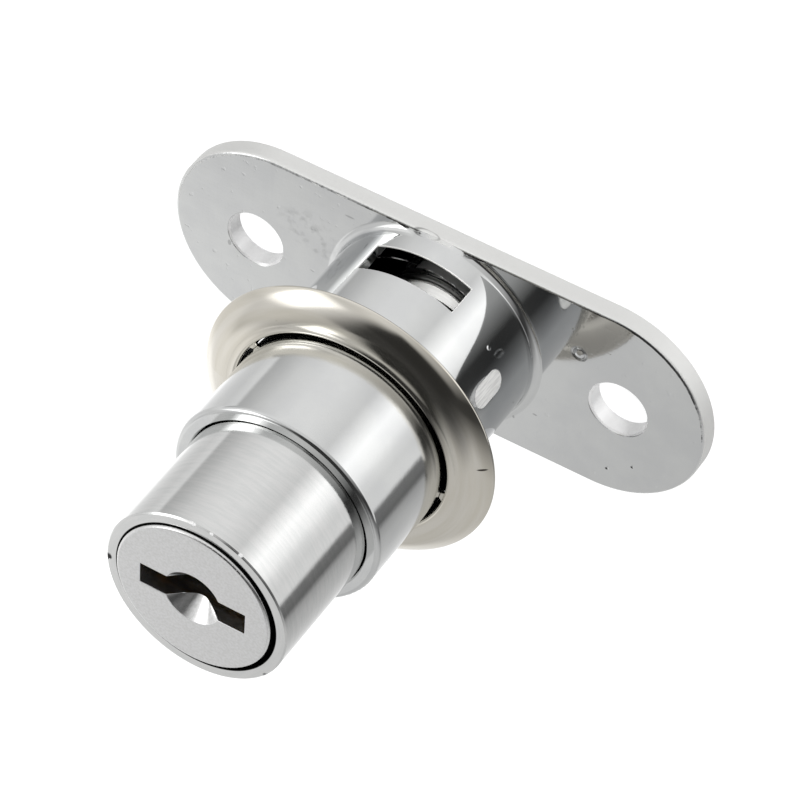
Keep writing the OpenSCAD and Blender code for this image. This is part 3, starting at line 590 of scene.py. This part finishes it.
def trimRing(s):
    # A closed profile carried round the axis. Profile: up the collar's inside (a straight line), round the
    # bead (a circle), out along the dome (x = domeAt + R sin a, z = domeZ + R cos a, less a small bell-shaped
    # groove), round the rolled outer edge (half a circle), back under the sheet on an arc smaller by the
    # sheet's thickness, and down the collar's outside. The nibs pull the inside in to their own radius.
    n = s["points"]
    rise = np.linspace(0, 1, n["collar"])[:, None] ** s["crowd"]
    joint = (s["beadR"] - s["bead"] + s["meet"][0], s["beadZ"] + s["meet"][1])
    inside = (1 - rise) * (s["tipR"], s["tipZ"]) + rise * joint
    t = np.radians(np.linspace(*s["beadTurn"], n["bead"]))
    bead = np.stack([s["beadR"] + s["bead"] * np.cos(t), s["beadZ"] + s["bead"] * np.sin(t)], 1)
    a = np.radians(np.linspace(s["domeFrom"], s["domeTo"], n["dome"]))
    dome = np.stack([s["domeAt"] + s["domeR"] * np.sin(a), s["domeZ"] + s["domeR"] * np.cos(a)], 1)
    dome[:, 1] -= s["groove"] * np.exp(-((dome[:, 0] - s["grooveAt"]) / s["grooveWidth"]) ** 2)
    end = math.radians(s["domeTo"])
    half = s["sheet"] / 2
    middle = s["domeR"] - half
    e = np.linspace(math.pi / 2 - end, -math.pi / 2 - end, n["edge"])[1:-1]
    edge = np.stack([s["domeAt"] + middle * math.sin(end) + half * np.cos(e),
                     s["domeZ"] + middle * math.cos(end) + half * np.sin(e)], 1)
    b = np.radians(np.linspace(s["domeTo"], s["underTo"], n["under"]))
    under = np.stack([s["domeAt"] + (s["domeR"] - s["sheet"]) * np.sin(b),
                      s["domeZ"] + (s["domeR"] - s["sheet"]) * np.cos(b)], 1)
    fall = np.linspace(0, 1, n["neck"])[:, None]
    outR = s["tipR"] + s["sheet"]
    outside = (1 - fall) * (outR + s["shoulder"], s["neck"]) + fall * (outR, s["tipZ"])
    profile = np.concatenate([inside, bead, dome, edge, under, outside])
    angle = np.linspace(0, turn, n["around"], endpoint=False)[:, None]
    radius = np.repeat(profile[None, :, 0], n["around"], 0)
    height = np.repeat(profile[None, :, 1], n["around"], 0)
    low, high = s["nibHeight"]
    tall = smoothStep((profile[:, 1] - low) / s["nibEnd"]) * smoothStep((high - profile[:, 1]) / s["nibEnd"])
    tall[len(inside) + len(bead):] = 0
    for nib in s["nibs"]:
        off = np.abs((angle - math.radians(nib) + math.pi) % turn - math.pi) * s["beadR"]
        wide = smoothStep((s["nibWidth"] / 2 + s["nibSide"] / 2 - off) / s["nibSide"])
        radius = radius - (radius - s["nibReach"]) * wide * tall[None, :]
    points = np.stack([radius * np.cos(angle), radius * np.sin(angle), height], -1)
    centre = np.array([0, 0, s["beadZ"]])
    tilt = np.array(Matrix.Rotation(s["tilt"][1], 3, "Y") @ Matrix.Rotation(s["tilt"][0], 3, "X"))
    return (points - centre) @ tilt.T + centre


print("trim ring")
rosette = newPiece("trimRing", gridMesh("trimRing", trimRing(ringShape), True, True), "rosette",
                   ("rosette",))
rosette.data.materials.append(nickel)


# dead is how much of a turn lies level at each end, tip how far the wire's end is rounded in wire
# thicknesses, and thinnest the share of it that stays at the very end, squared
springShape = {"radius": 5.3, "wire": 0.8, "from": 1.5, "length": 17.5, "turns": 5.8, "start": 20,
               "dead": 0.5, "tip": 0.3, "thinnest": 0.04, "steps": 64, "sides": 20}


def helix(s):
    # The wire's centre: radius times (cos, sin) of the angle, level for half a turn at each end and
    # rising evenly between. Round it a circle of the wire's radius, in the plane of the radius and Z;
    # the last steps at each end shrink to a rounded tip.
    count = int(s["turns"] * s["steps"])
    u = np.linspace(0, s["turns"], count)
    rise = np.clip((u - s["dead"]) / (s["turns"] - 2 * s["dead"]), 0, 1)
    angle = math.radians(s["start"]) + turn * u
    arc = np.minimum(u, s["turns"] - u) * turn * s["radius"]
    shrink = np.sqrt(np.clip(1 - (1 - arc / (s["tip"] * s["wire"])).clip(0) ** 2, s["thinnest"], 1))
    side = np.linspace(0, turn, s["sides"], endpoint=False)[:, None]
    half = s["wire"] / 2
    r = s["radius"] + half * np.cos(side) * shrink
    z = s["from"] + half + (s["length"] - s["wire"]) * rise + half * np.sin(side) * shrink
    return np.stack([r * np.cos(angle), r * np.sin(angle), z], -1)


print("return spring")
spring = newPiece("returnSpring", gridMesh("returnSpring", helix(springShape), True, False, True),
                  "housing", ("return_spring",))
spring.data.materials.append(wire)
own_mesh(spring)


print("camera and light")
view = {"lens": 186.01, "sensor": 36, "near": 10, "place": (126.07, 278.45, 246.16),
        "right": (0.85404, 0.05547, -0.51724), "up": (-0.40884, 0.68638, -0.60144),
        "back": (0.32166, 0.72512, 0.60887)}
camera = bpy.data.objects.new("camera", bpy.data.cameras.new("camera"))
bpy.context.scene.collection.objects.link(camera)
camera.data.lens = view["lens"]
camera.data.sensor_width = view["sensor"]
camera.data.clip_start = view["near"] * mm
facing = Matrix((view["right"], view["up"], view["back"])).transposed().to_4x4()
camera.matrix_world = Matrix.Translation(Vector(view["place"]) * mm) @ facing
bpy.context.scene.camera = camera

floorLook = {"radius": 4000, "below": 0.02, "sides": 96, "glow": 0.86, "paint": "#b4b4b4"}
sides = floorLook["sides"]
around = np.linspace(0, turn, sides, endpoint=False)
floorMesh = bpy.data.meshes.new("floor")
rim = np.stack([floorLook["radius"] * np.cos(around), floorLook["radius"] * np.sin(around),
                np.full(sides, -floorLook["below"])], 1)
floorMesh.from_pydata(rim * mm, [], [list(range(sides))])
floor = bpy.data.objects.new("floor", floorMesh)
bpy.context.scene.collection.objects.link(floor)
floor.visible_glossy = False  # the metal sees the studio's boards below it, not the table
floor.visible_shadow = False
paper = bpy.data.materials.new("whitePaperFloor")
paper.use_nodes = True
tree = paper.node_tree
tree.nodes.remove(tree.nodes["Principled BSDF"])
rays = addNode(tree, "LightPath")
seen = addNode(tree, "Math", {"operation": "MAXIMUM"}, {0: rays.outputs["Is Camera Ray"],
                                                      1: rays.outputs["Is Transmission Ray"]})
seen = addNode(tree, "Math", {"operation": "MAXIMUM"}, {0: seen.outputs[0], 1: rays.outputs["Is Glossy Ray"]})
glow = addNode(tree, "Math", {"operation": "MULTIPLY"}, {0: seen.outputs[0], 1: floorLook["glow"]})
light = addNode(tree, "Emission", {}, {"Color": (1, 1, 1, 1), "Strength": glow.outputs[0]})
paint = addNode(tree, "BsdfDiffuse", {}, {"Color": linear(floorLook["paint"])})
both = addNode(tree, "AddShader", {}, {0: light.outputs[0], 1: paint.outputs[0]})
tree.links.new(both.outputs[0], tree.nodes["Material Output"].inputs["Surface"])
floorMesh.materials.append(paper)

# The studio: boards all round the table, each at a compass angle from +X, with its brightness.
# Below the table's edge they are what the lock's round walls show; above it, what its faces show.
boardsLow = [
    (-136, 1.20), (-114, 1.05), (-104, 0.90), (-86, 0.68), (-66, 0.55), (-50, 0.48), (-38, 0.38), (-31, 0.13),
    (-24, 0.17), (-17, 0.17), (-12.5, 0.80), (4, 0.76), (14, 0.86), (24, 1.10), (40, 1.30), (54, 0.95),
    (64, 0.72), (90, 0.86), (112, 0.86), (124, 0.80), (138, 0.72), (152, 0.58), (166, 0.48), (170, 0.80),
    (-176, 0.68), (-164, 0.72), (-146, 0.88)]
boardsHigh = [
    (-176, 0.66), (-160, 0.78), (-150, 0.80), (-142, 0.87), (-131, 0.92), (-124, 0.86), (-118, 0.87),
    (-110, 0.57), (-90, 0.56), (-66, 0.58), (-45, 0.55), (-30, 0.35), (-20, 0.20), (-6, 0.05), (8, 0.04),
    (20, 0.20), (36, 0.42), (60, 0.55), (85, 0.72), (117, 0.85), (140, 0.90), (165, 0.85)]
# Softboxes and black cards over the table: (compass angle, elevation), (width, height) and brightness
cards = [
    {"at": (203, 38), "size": (26, 16), "soft": 9, "level": 0.47},
    {"at": (219, 54), "size": (40, 26), "soft": 8, "level": 0.42},
    {"at": (165, 50), "size": (80, 36), "soft": 20, "level": 0.66},
    {"at": (247, 66), "size": (16, 42), "soft": 6, "level": 0.04},
    {"at": (45, 69), "size": (42, 30), "soft": 8, "level": 0.03},
    {"at": (158, 42), "size": (36, 28), "soft": 8, "level": 1.35},
]
edges = {"table": 8, "zenith": (44, 68), "zenithLevel": 0.04}


def boardRamp(tree, boards, factor):
    ramp = addNode(tree, "ValToRGB", {}, {0: factor})
    stops = ramp.color_ramp.elements
    while len(stops) > 1:
        stops.remove(stops[0])
    order = sorted(boards)
    wrapped = [(order[-1][0] - 360, order[-1][1])] + order + [(order[0][0] + 360, order[0][1])]
    for end in (-180, 180):  # the same brightness on both sides of the seam
        level = float(np.interp(end, *zip(*wrapped)))
        order.append((end, level))
    order.sort()
    for k, (angle, level) in enumerate(order):
        stop = stops[0] if k == 0 else stops.new(angle / 360 + 0.5)
        stop.position = angle / 360 + 0.5
        stop.color = (level, level, level, 1)
    return ramp.outputs[0]


def card(tree, direction, under, s):
    # A board faces the table from (angle, elevation). A direction meets it where its components along the
    # board's width and height, over the one towards the board, are below the tangents of the half sizes.
    az, el = (math.radians(v) for v in s["at"])
    towards = (math.cos(el) * math.cos(az), math.cos(el) * math.sin(az), math.sin(el))
    width = (-math.sin(az), math.cos(az), 0)
    height = (-math.sin(el) * math.cos(az), -math.sin(el) * math.sin(az), math.cos(el))
    dots = [addNode(tree, "VectorMath", {"operation": "DOT_PRODUCT"},
                    {0: direction, 1: axis}).outputs["Value"] for axis in (towards, width, height)]
    leastFront = 0.001  # what faces away counts as far off to the side
    front = addNode(tree, "Math", {"operation": "MAXIMUM"}, {0: dots[0], 1: leastFront}).outputs[0]
    cover = None
    for dot, size in zip(dots[1:], s["size"]):
        share = addNode(tree, "Math", {"operation": "DIVIDE"}, {0: dot, 1: front}).outputs[0]
        share = addNode(tree, "Math", {"operation": "ABSOLUTE"}, {0: share}).outputs[0]
        inside = addNode(tree, "MapRange", {"interpolation_type": "SMOOTHSTEP"},
                         {0: share, 1: math.tan(math.radians(size / 2 + s["soft"] / 2)),
                          2: math.tan(math.radians(size / 2 - s["soft"] / 2))}).outputs[0]
        cover = inside if cover is None else addNode(tree, "Math", {"operation": "MULTIPLY"},
                                                     {0: cover, 1: inside}).outputs[0]
    level = (s["level"],) * 3 + (1,)
    return addNode(tree, "Mix", {"data_type": "RGBA"}, {0: cover, 6: under, 7: level}).outputs[2]


world = bpy.data.worlds.new("studio")
bpy.context.scene.world = world
world.use_nodes = True
tree = world.node_tree
direction = addNode(tree, "TexCoord").outputs["Generated"]
compass = addNode(tree, "TexGradient", {"gradient_type": "RADIAL"}, {0: direction}).outputs["Fac"]
upwards = addNode(tree, "SeparateXYZ", {}, {0: direction}).outputs[2]
above = addNode(tree, "MapRange", {"interpolation_type": "SMOOTHSTEP"},
                {0: upwards, 1: -math.sin(math.radians(edges["table"])),
                 2: math.sin(math.radians(edges["table"]))}).outputs[0]
low, high = (boardRamp(tree, boards, compass) for boards in (boardsLow, boardsHigh))
studio = addNode(tree, "Mix", {"data_type": "RGBA"}, {0: above, 6: low, 7: high}).outputs[2]
top = addNode(tree, "MapRange", {"interpolation_type": "SMOOTHSTEP"},
              {0: upwards, 1: math.sin(math.radians(edges["zenith"][0])),
               2: math.sin(math.radians(edges["zenith"][1]))}).outputs[0]
studio = addNode(tree, "Mix", {"data_type": "RGBA"},
                 {0: top, 6: studio, 7: (edges["zenithLevel"],) * 3 + (1,)}).outputs[2]
for each in cards:
    studio = card(tree, direction, studio, each)
rays = addNode(tree, "LightPath")
shown = addNode(tree, "Mix", {"data_type": "RGBA"},
                {0: rays.outputs["Is Camera Ray"], 6: studio, 7: (1, 1, 1, 1)})
tree.links.new(shown.outputs[2], tree.nodes["Background"].inputs["Color"])

# The fills reach only what isn't mirror-bright: the key's end, the bolt, the flange's dull edges
lamps = {"softbox": {"size": 0.5, "power": 0.8, "at": (-830, 335, 800), "mirrored": True},
         "fill": {"size": 0.4, "power": 3.0, "at": (386, 870, 730), "mirrored": False},
         "sideFill": {"size": 0.4, "power": 5.5, "at": (960, 480, 540), "mirrored": False}}
for name, s in lamps.items():
    lamp = bpy.data.objects.new(name, bpy.data.lights.new(name, "AREA"))
    bpy.context.scene.collection.objects.link(lamp)
    lamp.data.shape = "SQUARE"
    lamp.data.size = s["size"]
    lamp.data.energy = s["power"]
    lamp.location = Vector(s["at"]) * mm
    lamp.rotation_euler = Vector(s["at"]).to_track_quat("Z", "Y").to_euler()
    lamp.visible_glossy = s["mirrored"]

# A narrow snoot through the latch window, on the bolt
snoot = {"power": 5.5, "aim": (0.8, 4.7, 2.4), "from": (129.5, 294.7, 245.9), "cone": 1.0, "soft": 0.5,
         "bulb": 2}
lamp = bpy.data.objects.new("snoot", bpy.data.lights.new("snoot", "SPOT"))
bpy.context.scene.collection.objects.link(lamp)
lamp.data.energy = snoot["power"]
lamp.data.spot_size = math.radians(snoot["cone"])
lamp.data.spot_blend = snoot["soft"]
lamp.data.shadow_soft_size = snoot["bulb"] * mm
lamp.location = Vector(snoot["from"]) * mm
lamp.rotation_euler = (Vector(snoot["from"]) - Vector(snoot["aim"])).to_track_quat("Z", "Y").to_euler()
lamp.visible_glossy = False

bpy.context.scene.view_settings.view_transform = "Standard"
